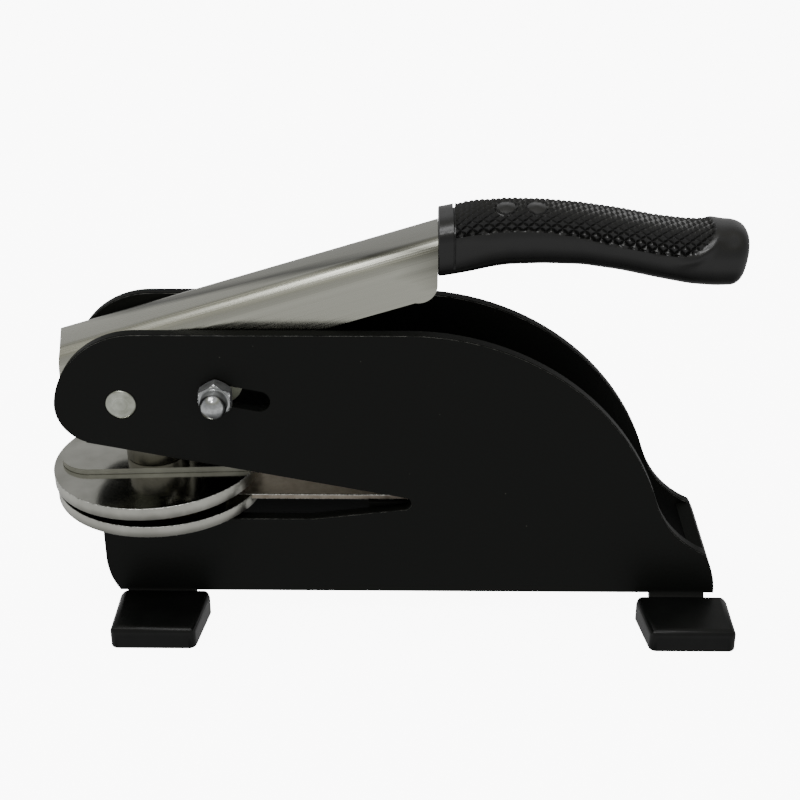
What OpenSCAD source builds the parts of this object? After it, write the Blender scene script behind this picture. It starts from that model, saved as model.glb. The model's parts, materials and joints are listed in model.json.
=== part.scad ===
// Seal embosser: a desk press that raises a round seal in paper.
// Two shaped side plates stand on four booted feet. A channel lever turns on a pin at the nose
// and pushes a leaf with the upper die disc down on the lower die disc.
// Millimetres. +Z is up. X runs along the press: the dies are at -X and the grip at +X.
// Y = 0 is the middle plane between the side plates. Z = 0 is the desk.
// The origin is under the middle of the whole press.

/* [Side plates] */
// Thickness of each side plate
plate_t = 4; // [3:0.5:5]
// Width over both side plates
body_w = 37; // [34:0.5:42]
// Height of the plates' lower edge above the desk, which is the feet's height
foot_h = 7.5; // [6:0.5:10]
// Height of the plates' top edge above the desk
plate_top = 100.6; // [98:0.2:104]
// Radius of the round nose round the lever pin
nose_r = 27; // [26:0.2:29]
// Position of the nose's centre along the press
nose_x = -78; // [-79:0.05:-77]
// Radius of the nose's lower corner
nose_corner_r = 13; // [8:0.5:14]
// Radius of the big rear curve
rear_r = 83.6; // [82:0.2:85]
// Position of the rear curve's centre along the press
rear_x = 6.15; // [4:0.05:8]
// Radius of the hollow curve above the tail
hollow_r = 32.3; // [28:0.1:36]
// Rear end of the tail
tail_x = 107.15; // [105:0.05:109]
// Radius of the tail's rounded rear edge
tail_r = 29.5; // [25:0.5:35]
// Height of the tail's cusp above the desk
tail_z = 22.4; // [18:0.2:26]
// Front edge of the lower jaw
jaw_x = -93.45; // [-96:0.05:-89]
// Radius of the lower jaw's rounded front foot
jaw_r = 22.4; // [15:0.2:30]

/* [Throat] */
// Height of the throat's lower edge
throat_z = 35.4; // [34:0.1:36.5]
// Slope of the throat's upper edge, in degrees
throat_tilt = 11.1; // [10:0.1:12]
// Slope of the throat's lower edge near its end, in degrees
throat_ramp = 6.9; // [4:0.1:9]
// Position of the throat's closed end along the press
throat_end_x = 4.75; // [1:0.05:7]
// Height of the middle of the throat's closed end
throat_end_z = 41.2; // [40.6:0.1:42]
// Radius of the throat's closed end
throat_end_r = 2.2; // [1.5:0.1:2.8]

/* [Lever pin] */
// Radius of the lever pin
pin_r = 4.9; // [4:0.1:6]
// Position of the lever pin along the press
pin_x = -83.75; // [-85:0.05:-83]
// Height of the lever pin
pin_z = 76.7; // [76:0.1:78]
// How far each pin end stands out of its plate
pin_proud = 0.4; // [0.2:0.1:1.5]
// Radial clearance of a turning fit
run_gap = 0.06; // [0.02:0.01:0.09]
// Radial clearance of a fixed fit
fit_gap = 0.02; // [0.01:0.01:0.05]
// Thickness of the thrust washers beside the lever
washer_t = 0.9; // [0.6:0.1:1]

/* [Stop bolt] */
// Radius of the stop bolt
bolt_r = 3; // [2.5:0.1:3.2]
// Half height of the slanted slot
slot_r = 3.5; // [3.4:0.1:4]
// Position of the bolt along the press, at the slot's front end
bolt_x = -53.6; // [-56:0.05:-53]
// Height of the bolt at the slot's front end
bolt_z = 80.5; // [80:0.1:82]
// Free travel of the bolt in the slot
slot_len = 13.4; // [8:0.2:15]
// Width across flats of the cap nuts
nut_af = 10; // [9:0.5:11]
// Height of the cap nut's hexagon
nut_h = 5.2; // [4:0.1:6]
// Radius of the cap nut's dome
dome_r = 4.25; // [3.5:0.05:4.6]
// Radius of the sleeve on the stop bolt
sleeve_r = 7.3; // [5:0.1:8]

/* [Lever] */
// Play between the lever channel and each thrust washer
lever_play = 0.4; // [0.3:0.05:0.6]
// Sheet thickness of the lever channel
lever_t = 2.2; // [1.5:0.1:2.5]
// Outside bend radius of the lever channel
lever_bend = 6.5; // [4:0.5:8]
// Slope of the lever at rest, in degrees
lever_tilt = 17.25; // [16:0.05:18]
// Distance from the pin's axis to the lever's top face
lever_top = 20.5; // [19:0.1:22]
// Depth of the channel behind the pin
lever_depth = 16.8; // [15:0.1:17.2]
// Front end of the lever
lever_front_x = -103.75; // [-104.2:0.05:-102]
// Rear end of the lever channel
lever_rear_x = 15; // [12:0.05:17]
// Radius of the flange's lower rear corner
flange_corner_r = 6; // [3:0.5:7]

/* [Presser] */
// Radius of the roller that the lever presses with
roller_r = 4.2; // [3.6:0.1:4.6]
// Position of the roller along the press
presser_x = -69.5; // [-71:0.05:-69]
// Gap between the roller and the pad at rest
presser_gap = 0.34; // [0.3:0.01:0.5]
// Radius of the roller's pin
presser_pin_r = 2.5; // [2:0.1:2.8]
// Gap between the pad on the upper leaf and the lever's flanges
pad_gap = 1; // [0.5:0.1:2]
// Height of the pad above the upper leaf
pad_h = 7.8; // [6:0.1:9]
// Radius of the pad's spigot, which goes through the upper leaf into the disc
spigot_r = 4; // [3:0.1:5]
// How deep the spigot sits in the disc
spigot_depth = 1.4; // [0.8:0.1:1.6]

/* [Dies] */
// Radius of both die discs
die_r = 34.2; // [31:0.1:36]
// Thickness of the lower die disc
lower_t = 3.8; // [3:0.1:4.5]
// Thickness of the upper die disc
upper_t = 4.2; // [3.5:0.1:5]
// Height of the lower die disc's top face
lower_top = 41.5; // [40.8:0.1:42]
// Gap between the discs when the press is closed
closed_gap = 0.3; // [0.3:0.05:0.6]
// Position of the lower disc along the press
lower_x = -76.15; // [-78:0.05:-75]
// How far the upper disc sits ahead of the lower one
upper_lead = 0.8; // [0:0.1:1.5]
// Angle the upper jaw stands open at rest, in degrees
open_angle = 1.8; // [1:0.1:2]
// Position of the line, ahead of the dies, about which the upper jaw opens
jaw_axis_x = -144; // [-150:0.5:-140]
// Radius of the seal plates
seal_r = 20.5; // [18:0.5:23]
// Thickness of the seal plates
seal_t = 1.6; // [1:0.1:2]
// How far the lower seal plate stands up into the upper one
seal_proud = 0.5; // [0.2:0.1:0.8]

/* [Leaves] */
// Gap between the lower leaf and each side plate
leaf_side_gap = 1.2; // [0.6:0.1:3]
// Thickness of the lower leaf
leaf_t = 1.9; // [1.2:0.1:2.2]
// Gap between the upper leaf and each side plate
bar_side_gap = 3; // [1:0.1:6]
// Thickness of the upper leaf
bar_t = 1.8; // [1:0.1:2]
// Front tip of the upper leaf
bar_tip_x = -108.6; // [-109:0.05:-106]
// Rear end of the part of the upper leaf that moves with the upper disc
bar_rear_x = -37; // [-39:0.5:-30]
// Position of the middle of the leaves' clamp along the press
clamp_x = 3.15; // [1:0.05:5]
// Radius of the leaf screws
leaf_screw_r = 1.9; // [1.5:0.1:2]

/* [Grip] */
// How much narrower than the lever the grip is on each side
grip_inset = 0.2; // [0:0.1:1.5]
// Corner radius of the grip's section
grip_corner = 4.6; // [3:0.2:5]
// Width of the groove behind the grip's collar
grip_groove = 0.7; // [0.4:0.1:1.2]
// Thickness of the steel tang in the grip
tang_t = 3.6; // [2:0.2:4]
// Half width of the tang
tang_half_w = 7.5; // [5:0.5:9]

/* [Feet] */
// Width over the feet, across the press
foot_len = 82; // [76:1:90]
// Width of each foot, along the press
foot_w = 30.4; // [28:0.2:31]
// How much narrower each foot gets towards its outer end
foot_taper = 3; // [0:0.5:5]
// Outer edge of the front feet
front_foot_x = -89.65; // [-91:0.05:-87]
// Outer edge of the rear foot under the left side plate
rear_foot_x = 111.14; // [110:0.01:112]
// How much further forward the rear foot under the right side plate sits
rear_foot_shift = 4; // [0:0.5:5]
// Gap between the rear feet and the side plates
rear_foot_gap = 2.4; // [0.4:0.1:4]
// Radius of the feet's top edges
foot_edge_r = 2.4; // [1:0.1:3]
// Radius of the feet's corners
foot_corner_r = 2.5; // [1:0.5:4]
// Height of the underside of the side plates' bent tabs
tab_z = 2; // [1.2:0.1:2.4]
// Inside radius of the tabs' bend
tab_bend_r = 2.5; // [1.5:0.1:3]
// Thickness of a foot's wall round its tab
tab_wall = 2.4; // [1.5:0.1:3]

/* [Hidden] */
$fn = 96;
eps = 0.01;
inner_y = body_w / 2 - plate_t;
outer_y = body_w / 2;
plate_bot = foot_h;
nose_z = plate_top - nose_r;
rear_z = plate_top - rear_r;

// throat: the upper edge is a line touching the round end, with the normal tn
tn = [sin(throat_tilt), cos(throat_tilt)];
tu = [cos(throat_tilt), -sin(throat_tilt)];
t_end = [throat_end_x, throat_end_z];
t_level = tn * t_end + throat_end_r;
t_tang = t_end + throat_end_r * tn;
r_tang = t_end + throat_end_r * [sin(throat_ramp), -cos(throat_ramp)];
ramp_x = r_tang.x - (r_tang.y - throat_z) / tan(throat_ramp);

// nose corner: a circle inside the nose that also touches the throat's upper edge
n_c = [nose_x, nose_z];
n_s = tn * n_c - t_level - nose_corner_r;
n_d = nose_r - nose_corner_r;
n_f = n_c - n_s * tn - sqrt(n_d * n_d - n_s * n_s) * tu;
n_line = n_f - nose_corner_r * tn;
n_circ = n_c + (n_f - n_c) * nose_r / n_d;

// hollow above the tail: touches the rear curve from outside and passes the cusp
cusp_x = tail_x - tail_r + sqrt(tail_r * tail_r - pow(tail_z - plate_bot, 2));
c_v = [cusp_x - rear_x, tail_z - rear_z];
c_d = norm(c_v);
c_a = acos((pow(rear_r + hollow_r, 2) + c_d * c_d - hollow_r * hollow_r) / (2 * (rear_r + hollow_r) * c_d));
c_b = atan2(c_v.y, c_v.x) + c_a;
h_c = [rear_x + (rear_r + hollow_r) * cos(c_b), rear_z + (rear_r + hollow_r) * sin(c_b)];
h_t = [rear_x + rear_r * cos(c_b), rear_z + rear_r * sin(c_b)];

// heights of the stack of dies, with the press closed
lower_bot = lower_top - lower_t;
upper_bot = lower_top + closed_gap;
upper_top = upper_bot + upper_t;
bar_top = upper_top + bar_t;
upper_x = lower_x - upper_lead;
jaw_axis_z = upper_top + bar_t / 2;
leaf_bot = lower_top - leaf_t;

leaf_half_w = inner_y - leaf_side_gap;
bar_half_w = inner_y - bar_side_gap;

// lever's width, and the roller a small gap above the raised pad
lever_half_w = inner_y - washer_t - lever_play;
flange_gap = lever_half_w - lever_t;
pad_r = flange_gap - pad_gap;
pad_top = bar_top + pad_h;
presser_pin_z = raised(presser_x, pad_top) + presser_gap + roller_r;
boss_r = presser_pin_r + 2.6;
grip_half_w = lever_half_w - grip_inset;

// points on lines along the lever, in the side view
function on_lever(x, v) = [x, pin_z + v / cos(lever_tilt) + (x - pin_x) * tan(lever_tilt)];
flange_v = lever_top - lever_depth;

// grip stations: position, height of the centre, half width, half height
stations = [
  [lever_rear_x + 0.1, 125.0, 1.00, 7.7],
  [20.0, 125.8, 1.00, 7.6],
  [27.0, 127.0, 0.98, 7.2],
  [36.0, 127.6, 0.97, 6.8],
  [47.0, 127.5, 0.97, 6.5],
  [59.0, 126.6, 0.97, 6.3],
  [71.0, 124.9, 0.98, 6.3],
  [82.0, 123.1, 0.99, 6.6],
  [92.0, 122.0, 1.00, 7.0],
  [99.6, 121.9, 0.99, 7.2],
  [104.8, 122.2, 0.94, 6.9],
  [107.8, 122.4, 0.85, 6.2]
];
grip_end_x = 109.6;
function lerp_at(x, k) = lookup(x, [for (s = stations) [s[0], s[k]]]);

sleeve_half = flange_gap - 0.5;
nut_y = outer_y + 0.3;
dome_h = nut_h + 3;
anvil_h = 12;
anvil_w = 42;
block_h = 9;
block_w = 20;
reach = 200;
tie_half = inner_y - fit_gap;
leaf_end_x = clamp_x + 6;
screw_xs = [clamp_x - 3.5, clamp_x + 3.5];
screw_head_r = 3.2;
screw_head_h = 1.8;
spacer_front = 7;
spacer_len = 13;
tang_in = 22;
tang_xs = [31, 49, 67];
tang_end_x = 81;

// height at rest of a level that is z with the jaw closed, at x
function raised(x, z) = jaw_axis_z + (z - jaw_axis_z) / cos(open_angle) + (x - jaw_axis_x) * tan(open_angle);

// tabs: bent out of the side plates, inside the feet
tab_top = tab_z + plate_t;
tab_end_y = foot_len / 2 - tab_wall;
tab_w = foot_w - foot_taper - 2 * tab_wall;
rear_tab_x = min(rear_foot_x - tab_wall, tail_x - 3.2);
rear_tab_w = rear_tab_x - (rear_foot_x - foot_w + foot_taper + tab_wall);

// ---------- helpers ----------

// a side-view outline given thickness across the press, from y0 to y1
module across(y0, y1) {
  translate([0, y1, 0])
    rotate([90, 0, 0])
      linear_extrude(height = y1 - y0)
        children();
}

// a round bar across the press
module rod(x, z, r, y0, y1) {
  translate([x, y1, z])
    rotate([90, 0, 0])
      cylinder(r = r, h = y1 - y0);
}

// turns the upper jaw from closed to its place at rest
module opened() {
  translate([jaw_axis_x, 0, jaw_axis_z])
    rotate([0, -open_angle, 0])
      translate([-jaw_axis_x, 0, -jaw_axis_z])
        children();
}

// ---------- side plates ----------

// the space the paper and the leaves go in
module throat_2d() {
  far = nose_x - 60;
  polygon([
    [far, (t_level - tn.x * far) / tn.y],
    t_tang,
    r_tang,
    [ramp_x, throat_z],
    [far, throat_z]
  ]);
  translate(t_end)
    circle(r = throat_end_r);
}

// nose: a big round above the throat line, with its lower corner rounded
module nose_2d() {
  difference() {
    translate(n_c)
      circle(r = nose_r);
    polygon([n_line, n_line - 40 * tu, n_circ - 40 * tu, n_circ]);
    translate([nose_x - 60, throat_z - 40])
      square([120, 40]);
  }
  translate(n_f)
    circle(r = nose_corner_r);
}

// lower jaw's front: straight above, rounded in towards the foot
module jaw_2d() {
  mid_z = plate_bot + 12.5;
  translate([jaw_x, mid_z])
    square([nose_x - jaw_x + eps, throat_z - mid_z]);
  intersection() {
    translate([jaw_x + jaw_r, mid_z])
      circle(r = jaw_r);
    translate([jaw_x, plate_bot])
      square([nose_x - jaw_x + eps, mid_z - plate_bot + eps]);
  }
}

// tail: a rounded rear edge below a hollow curve
module tail_2d() {
  difference() {
    polygon([
      [rear_x, plate_bot],
      [tail_x - tail_r, plate_bot],
      [cusp_x, plate_bot],
      [cusp_x, tail_z],
      h_t,
      [rear_x, h_t.y]
    ]);
    translate(h_c)
      circle(r = hollow_r);
  }
  intersection() {
    translate([tail_x - tail_r, plate_bot])
      circle(r = tail_r);
    translate([tail_x - tail_r, plate_bot])
      square([tail_r + 1, tail_z - plate_bot]);
  }
}

module plate_2d() {
  difference() {
    union() {
      nose_2d();
      jaw_2d();
      translate([nose_x, plate_bot])
        square([rear_x - nose_x, plate_top - plate_bot]);
      intersection() {
        translate([rear_x, rear_z])
          circle(r = rear_r, $fn = 180);
        translate([rear_x - eps, plate_bot])
          square([rear_r + 1, plate_top - plate_bot + 1]);
      }
      tail_2d();
    }
    throat_2d();
    translate([pin_x, pin_z])
      circle(r = pin_r + fit_gap);
    slot_2d();
  }
}

// slanted slot, parallel to the throat's upper edge
module slot_2d() {
  translate([bolt_x, bolt_z])
    rotate(-throat_tilt) {
      circle(r = slot_r);
      translate([slot_len, 0])
        circle(r = slot_r);
      translate([0, -slot_r])
        square([slot_len, 2 * slot_r]);
    }
}

// end view of a tab on the left side: a quarter bend out of the plate, then flat
module tab_2d(grow) {
  bend_y = -outer_y - tab_bend_r;
  bend_z = tab_top + tab_bend_r;
  big_r = tab_bend_r + plate_t + grow;
  difference() {
    intersection() {
      translate([bend_y, bend_z])
        circle(r = big_r);
      translate([bend_y, bend_z - big_r - 1])
        square([big_r + 1, big_r + 1]);
    }
    translate([bend_y, bend_z])
      circle(r = tab_bend_r - grow);
  }
  translate([-tab_end_y - grow, tab_z - grow])
    square([tab_end_y + grow + bend_y, plate_t + 2 * grow]);
}

module tab(x0, w, grow) {
  translate([x0 - grow, 0, 0])
    rotate([90, 0, 90])
      linear_extrude(height = w + 2 * grow)
        tab_2d(grow);
}

// the left side plate, with its rear tab moved forward by shift
module side_plate(shift) {
  across(-outer_y, -inner_y)
    plate_2d();
  tab(front_foot_x + tab_wall, tab_w, 0);
  tab(rear_tab_x - rear_tab_w - shift, rear_tab_w, 0);
}

module side_plate_left() {
  color("#191b1a")
    side_plate(0);
}

module side_plate_right() {
  color("#191b1a")
    mirror([0, 1, 0])
      side_plate(rear_foot_shift);
}

// rear web that joins the plates at the tail
module back_plate() {
  color("#191b1a")
    across(-inner_y + fit_gap, inner_y - fit_gap)
      intersection() {
        difference() {
          translate([tail_x - tail_r, plate_bot])
            circle(r = tail_r);
          translate([tail_x - tail_r, plate_bot])
            circle(r = tail_r - plate_t);
        }
        translate([tail_x - tail_r, plate_bot])
          square([tail_r + 1, tail_z - plate_bot]);
      }
}

// ---------- blocks between the plates ----------

// carries the lower die
module anvil_block() {
  color("#202221")
    translate([lower_x + 5 - anvil_w / 2, -tie_half, lower_bot - fit_gap - anvil_h])
      cube([anvil_w, 2 * tie_half, anvil_h]);
}

// carries the rear end of the leaves
module rear_block() {
  color("#202221")
    difference() {
      translate([clamp_x - block_w / 2, -tie_half, leaf_bot - fit_gap - block_h])
        cube([block_w, 2 * tie_half, block_h]);
      for (x = screw_xs)
        translate([x, 0, leaf_bot - block_h - 1])
          cylinder(r = leaf_screw_r + fit_gap, h = block_h + 2);
    }
}

// ---------- lever pin ----------

module lever_pin() {
  color("#c3c4bf")
    rotate([90, 0, 0])
      translate([pin_x, pin_z, -outer_y - pin_proud])
        rotate_extrude()
          polygon([
            [0, 0],
            [pin_r - 0.5, 0],
            [pin_r, 0.5],
            [pin_r, 2 * (outer_y + pin_proud) - 0.5],
            [pin_r - 0.5, 2 * (outer_y + pin_proud)],
            [0, 2 * (outer_y + pin_proud)]
          ]);
}

// one on each side, against the plates
module thrust_washers() {
  color("#b9b9b2")
    for (s = [-1, 1])
      difference() {
        rod(pin_x, pin_z, pin_r + 3, s * (inner_y - washer_t / 2) - washer_t / 2,
          s * (inner_y - washer_t / 2) + washer_t / 2);
        rod(pin_x, pin_z, pin_r + fit_gap, s * inner_y - 2, s * inner_y + 2);
      }
}

// ---------- feet ----------

// all that lies inward of an upright edge whose top is rounded
module soft_edge(x, y, turn) {
  translate([x, y, 0])
    rotate([0, 0, turn])
      translate([0, reach / 2, 0])
        rotate([90, 0, 0])
          linear_extrude(height = reach) {
            square([90, foot_h - foot_edge_r]);
            translate([foot_edge_r, 0])
              square([90, foot_h]);
            translate([foot_edge_r, foot_h - foot_edge_r])
              circle(r = foot_edge_r);
          }
}

// an outline with round corners, given by the centres of its corners in anticlockwise order
module rounded_2d(c, r) {
  polygon(c);
  for (i = [0:len(c) - 1]) {
    p = c[i];
    q = c[(i + 1) % len(c)];
    o = r * [q.y - p.y, p.x - q.x] / norm(q - p);
    polygon([p, p + o, q + o, q]);
    translate(p)
      circle(r = r);
  }
}

// a moulded boot, pushed over the tab of a left side plate
module foot(back_y) {
  slant = atan2(foot_taper, foot_len / 2 + back_y);
  c = foot_corner_r;
  y0 = c - foot_len / 2;
  y1 = back_y - c;
  // how far the slanted edge has come in at those two heights
  in0 = c / cos(slant) + (back_y - y0) * tan(slant);
  in1 = c / cos(slant) + (back_y - y1) * tan(slant);
  intersection() {
    linear_extrude(height = foot_h)
      rounded_2d([[c, y0], [foot_w - in0, y0], [foot_w - in1, y1], [c, y1]], c);
    soft_edge(0, 0, 0);
    soft_edge(0, -foot_len / 2, 90);
    soft_edge(foot_w, back_y, 180 - slant);
  }
}

module front_foot() {
  color("#222423")
    difference() {
      translate([front_foot_x, 0, 0])
        foot(-outer_y - 0.3);
      tab(front_foot_x + tab_wall, tab_w, 0.05);
    }
}

// the rear foot is the mirror image of the front one, and its back end stands off the plate
module rear_foot(shift) {
  color("#222423")
    difference() {
      translate([rear_foot_x - shift, 0, 0])
        mirror([1, 0, 0])
          foot(-outer_y - rear_foot_gap);
      tab(rear_tab_x - rear_tab_w - shift, rear_tab_w, 0.05);
    }
}

module front_foot_left() {
  front_foot();
}

module front_foot_right() {
  mirror([0, 1, 0])
    front_foot();
}

module rear_foot_left() {
  rear_foot(0);
}

module rear_foot_right() {
  mirror([0, 1, 0])
    rear_foot(rear_foot_shift);
}

// ---------- lower die ----------

module lower_die_disc() {
  color("#c9cac5")
    difference() {
      translate([lower_x, 0, lower_bot])
        cylinder(r = die_r, h = lower_t);
      translate([lower_x, 0, lower_top - seal_t])
        cylinder(r = seal_r + fit_gap, h = seal_t + 1);
      // the leaf's step in the disc's rear half
      translate([lower_x + seal_r + 2 - fit_gap, -leaf_half_w - fit_gap, leaf_bot - fit_gap])
        cube([die_r, 2 * (leaf_half_w + fit_gap), leaf_t + 1]);
    }
}

module lower_leaf() {
  color("#8f8579")
    difference() {
      translate([lower_x + seal_r + 2, -leaf_half_w, leaf_bot])
        cube([leaf_end_x - lower_x - seal_r - 2, 2 * leaf_half_w, leaf_t]);
      for (x = screw_xs)
        translate([x, 0, leaf_bot - 1])
          cylinder(r = leaf_screw_r + fit_gap, h = leaf_t + 2);
    }
}

// a raised seal plate: its face is ringed by two fine grooves
module lower_seal_plate() {
  color("#b08d57")
    difference() {
      translate([lower_x, 0, lower_top - seal_t + fit_gap])
        cylinder(r = seal_r, h = seal_t + seal_proud - fit_gap);
      for (r = [0.62, 0.88])
        ring_cut(seal_r * r, lower_top + seal_proud - 0.25);
    }
}

module ring_cut(r, z) {
  translate([lower_x, 0, z])
    difference() {
      cylinder(r = r + 0.5, h = 1);
      translate([0, 0, -1])
        cylinder(r = r - 0.5, h = 3);
    }
}

// ---------- rear end of the leaves ----------

// its top face slopes like the upper leaf
module leaf_spacer() {
  color("#5c5c58")
    difference() {
      translate([clamp_x - spacer_front, -bar_half_w, lower_top + fit_gap])
        cube([spacer_len, 2 * bar_half_w, raised(clamp_x, upper_top) - lower_top + 3]);
      opened()
        translate([clamp_x - reach / 2, -bar_half_w - 1, upper_top])
          cube([reach, 2 * bar_half_w + 2, reach]);
      for (x = screw_xs)
        translate([x, 0, lower_top - 1])
          cylinder(r = leaf_screw_r + fit_gap, h = raised(clamp_x, upper_top) - lower_top + 5);
    }
}

module leaf_screws() {
  color("#8d8f8d")
    for (x = screw_xs) {
      head_z = raised(x + screw_head_r, bar_top) + fit_gap;
      translate([x, 0, leaf_bot - 8])
        cylinder(r = leaf_screw_r, h = head_z - leaf_bot + 8);
      translate([x, 0, head_z - eps])
        cylinder(r = screw_head_r, h = screw_head_h);
    }
}

// the fixed rear part of the upper leaf
module leaf_root() {
  color("#c9cac5")
    difference() {
      opened()
        translate([bar_rear_x + 0.6, -bar_half_w, upper_top + fit_gap])
          cube([leaf_end_x - 1 - bar_rear_x - 0.6, 2 * bar_half_w, bar_t - fit_gap]);
      for (x = screw_xs)
        translate([x, 0, raised(x, upper_top) - 3])
          cylinder(r = leaf_screw_r + fit_gap, h = bar_t + 6);
    }
}

// ---------- upper jaw, drawn closed and then opened ----------

module upper_die_disc() {
  color("#c9cac5")
    opened()
      difference() {
        translate([upper_x, 0, upper_bot])
          cylinder(r = die_r, h = upper_t);
        translate([lower_x, 0, upper_bot - 1])
          cylinder(r = seal_r + 0.7, h = 1 + seal_t + seal_proud);
        translate([upper_x, 0, upper_top - spigot_depth - fit_gap])
          cylinder(r = spigot_r + fit_gap, h = spigot_depth + 1);
      }
}

// the counter plate sits deeper in its pocket by the height the other one stands up
module upper_seal_plate() {
  color("#b08d57")
    opened()
      translate([lower_x, 0, upper_bot + seal_proud])
        cylinder(r = seal_r + 0.7 - fit_gap, h = seal_t - fit_gap);
}

// leaf with a round front tip, lying on the upper disc
module upper_leaf() {
  color("#c9cac5")
    opened()
      difference() {
        union() {
          translate([bar_tip_x + bar_half_w, -bar_half_w, upper_top + fit_gap])
            cube([bar_rear_x - bar_tip_x - bar_half_w, 2 * bar_half_w, bar_t - fit_gap]);
          translate([bar_tip_x + bar_half_w, 0, upper_top + fit_gap])
            cylinder(r = bar_half_w, h = bar_t - fit_gap);
        }
        translate([upper_x, 0, upper_top - 1])
          cylinder(r = spigot_r + fit_gap, h = bar_t + 2);
      }
}

// round pad on the leaf, over the middle of the dies: the lever's roller presses on it
module pressure_pad() {
  chamfer = 0.6;
  top = pad_h + bar_t;
  color("#c3c4bf")
    opened()
      translate([upper_x, 0, upper_top])
        rotate_extrude()
          polygon([
            [0, -spigot_depth],
            [spigot_r, -spigot_depth],
            [spigot_r, bar_t + fit_gap],
            [pad_r, bar_t + fit_gap],
            [pad_r, top - chamfer],
            [pad_r - chamfer, top],
            [0, top]
          ]);
}

// ---------- lever ----------

// side view of the flanges, before the top is bent over
module flange_2d() {
  top_f = on_lever(lever_front_x, lever_top);
  top_r = on_lever(lever_rear_x, lever_top);
  low_r = on_lever(lever_rear_x, flange_v);
  low_c = on_lever(lever_rear_x - flange_corner_r - 1, flange_v);
  low_m = on_lever(presser_x + 12, flange_v);
  neck = boss_r - 0.5;
  difference() {
    union() {
      polygon([
        [lever_front_x, pin_z],
        [pin_x - 7, pin_z - 7],
        [presser_x - neck, presser_pin_z - 1],
        [presser_x + neck, presser_pin_z - 1],
        [presser_x + neck, presser_pin_z + 6],
        low_m,
        low_c,
        [low_c.x + 1, low_c.y + 2],
        [low_r.x, low_c.y + flange_corner_r],
        top_r,
        top_f
      ]);
      translate([presser_x, presser_pin_z])
        circle(r = boss_r);
      translate([pin_x, pin_z])
        circle(r = pin_r + 6.5);
      translate([low_r.x - flange_corner_r, low_c.y + flange_corner_r])
        circle(r = flange_corner_r);
    }
    translate([pin_x, pin_z])
      circle(r = pin_r + run_gap);
    translate([presser_x, presser_pin_z])
      circle(r = presser_pin_r + fit_gap);
  }
}

// end view of the bent sheet, standing on the lever's top face
module bend_2d(grow, w, top) {
  r = lever_bend - grow;
  translate([-w + grow, top - 60])
    square([2 * (w - grow), 60 - lever_bend]);
  translate([-w + lever_bend, top - 60])
    square([2 * (w - lever_bend), 60 - grow]);
  for (s = [-1, 1])
    translate([s * (w - lever_bend), top - lever_bend])
      circle(r = r);
}

// an end view drawn along the sloping lever
module along_lever() {
  translate([pin_x, 0, pin_z])
    rotate([0, -lever_tilt, 0])
      translate([-40, 0, 0])
        rotate([90, 0, 90])
          linear_extrude(height = reach)
            children();
}

module lever_channel() {
  color("#bdbdb6")
    intersection() {
      across(-lever_half_w, lever_half_w)
        flange_2d();
      along_lever()
        difference() {
          bend_2d(0, lever_half_w, lever_top);
          bend_2d(lever_t, lever_half_w, lever_top);
        }
    }
}

// keeps the flanges apart on the pin
module pivot_sleeve() {
  half = flange_gap - fit_gap;
  color("#b9b9b2")
    difference() {
      rod(pin_x, pin_z, pin_r + 2.5, -half, half);
      rod(pin_x, pin_z, pin_r + run_gap, -half - 1, half + 1);
    }
}

// turns on its pin between the flanges and presses on the pad
module presser_roller() {
  half = flange_gap - 0.4;
  color("#c3c4bf")
    difference() {
      rod(presser_x, presser_pin_z, roller_r, -half, half);
      rod(presser_x, presser_pin_z, presser_pin_r + run_gap, -half - 1, half + 1);
    }
}

module presser_pin() {
  color("#c3c4bf")
    rod(presser_x, presser_pin_z, presser_pin_r, -lever_half_w + 0.1, lever_half_w - 0.1);
}

// ---------- tang and grip ----------

// side view of the tang: bent to follow the grip
module tang_2d(grow) {
  h = tang_t / 2 + grow;
  u0 = on_lever(lever_rear_x - tang_in, lever_top - lever_t - fit_gap - tang_t / 2);
  u1 = on_lever(stations[0][0], lever_top - lever_t - fit_gap - tang_t / 2);
  c = concat(
    [u0, u1],
    [for (x = tang_xs) [x, lerp_at(x, 1)]],
    [[tang_end_x + grow, lerp_at(tang_end_x, 1)]]
  );
  polygon(concat(
    [for (p = c) [p.x, p.y + h]],
    [for (i = [len(c) - 1:-1:0]) [c[i].x, c[i].y - h]]
  ));
}

module lever_tang() {
  color("#8d8f8d")
    across(-tang_half_w, tang_half_w)
      tang_2d(-0.1);
}

// a thin slice with the grip's section at x, scaled by k and set back by a length
module slice(x, k, back) {
  a = grip_half_w * lerp_at(x, 2) * k;
  b = lerp_at(x, 3) * k;
  r = min(grip_corner, b - 0.4);
  translate([x - back, 0, lerp_at(x, 1)])
    rotate([90, 0, 90])
      linear_extrude(height = 0.1)
        hull()
          for (s = [-1, 1], t = [-1, 1])
            translate([s * (a - r), t * (b - r)])
              circle(r = r, $fn = 32);
}

module grip_solid(xs) {
  for (i = [0:len(xs) - 2])
    hull() {
      slice(xs[i], 1, 0);
      slice(xs[i + 1], 1, 0.1);
    }
}

module tang_space() {
  across(-tang_half_w - 0.1, tang_half_w + 0.1)
    tang_2d(0.02);
}

module grip_collar() {
  color("#26282a")
    difference() {
      grip_solid([stations[0][0], stations[1][0] - grip_groove / 2]);
      tang_space();
    }
}

module grip() {
  n = len(stations);
  color("#232527")
    difference() {
      union() {
        grip_solid(concat([stations[1][0] + grip_groove / 2], [for (i = [2:n - 1]) stations[i][0]]));
        hull() {
          slice(stations[n - 1][0], 1, 0);
          slice(grip_end_x - 0.6, 0.8, 0);
          slice(grip_end_x - 0.1, 0.62, 0);
        }
      }
      tang_space();
    }
}

// ---------- stop bolt ----------

module stop_bolt() {
  color("#8d8f8d")
    rod(bolt_x, bolt_z, bolt_r, -nut_y - nut_h - 1, nut_y + nut_h + 1);
}

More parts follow.
